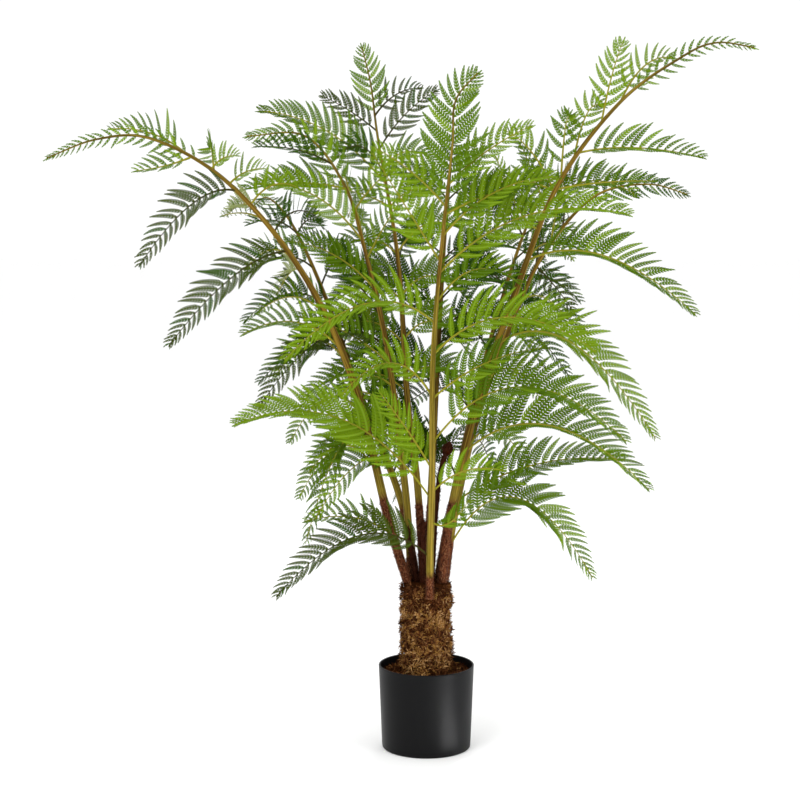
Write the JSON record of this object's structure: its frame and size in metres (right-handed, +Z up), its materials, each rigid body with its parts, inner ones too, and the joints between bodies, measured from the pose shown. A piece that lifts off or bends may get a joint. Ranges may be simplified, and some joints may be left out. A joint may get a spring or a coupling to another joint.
{
  "type": "artificial tree fern",
  "caption": "Artificial tree fern: a short coir-wrapped trunk in a plain round pot, with tall arching fronds of toothed leaflets spreading from its top.",
  "frame": {"origin": "middle of the pot's flat underside", "axes": "+Z up along the trunk; the front is -Y; the two longest fronds reach out along -X and +X"},
  "size_m": [1.1741, 0.8756, 1.268],
  "materials": {
    "pot_plastic": "satin",
    "pot_fill": "matte",
    "trunk_coir": "matte",
    "stalk_foot": "matte",
    "shoot_fur": "matte",
    "fern_leaf": "satin"
  },
  "bodies": {
    "root": {"pot": "pot_plastic", "pot_fill": "pot_fill", "trunk": "trunk_coir", "shoot_tall": "shoot_fur", "shoot_small": "shoot_fur", "shoot_short": "shoot_fur", "frond_front_foot": "stalk_foot", "frond_front_lower": "fern_leaf", "frond_front_middle": "fern_leaf", "frond_front_upper": "fern_leaf", "frond_left_foot": "stalk_foot", "frond_left_lower": "fern_leaf", "frond_left_middle": "fern_leaf", "frond_left_upper": "fern_leaf", "frond_left_inner_foot": "stalk_foot", "frond_left_inner_lower": "fern_leaf", "frond_left_inner_middle": "fern_leaf", "frond_left_inner_upper": "fern_leaf", "frond_back_tall_foot": "stalk_foot", "frond_back_tall_lower": "fern_leaf", "frond_back_tall_middle": "fern_leaf", "frond_back_tall_upper": "fern_leaf", "frond_right_foot": "stalk_foot", "frond_right_lower": "fern_leaf", "frond_right_middle": "fern_leaf", "frond_right_upper": "fern_leaf", "frond_right_inner_foot": "stalk_foot", "frond_right_inner_lower": "fern_leaf", "frond_right_inner_middle": "fern_leaf", "frond_right_inner_upper": "fern_leaf", "frond_rear_left_foot": "stalk_foot", "frond_rear_left_lower": "fern_leaf", "frond_rear_left_middle": "fern_leaf", "frond_rear_left_upper": "fern_leaf", "frond_rear_foot": "stalk_foot", "frond_rear_lower": "fern_leaf", "frond_rear_middle": "fern_leaf", "frond_rear_upper": "fern_leaf", "frond_rear_right_foot": "stalk_foot", "frond_rear_right_lower": "fern_leaf", "frond_rear_right_middle": "fern_leaf", "frond_rear_right_upper": "fern_leaf"}
  },
  "joints": []
}
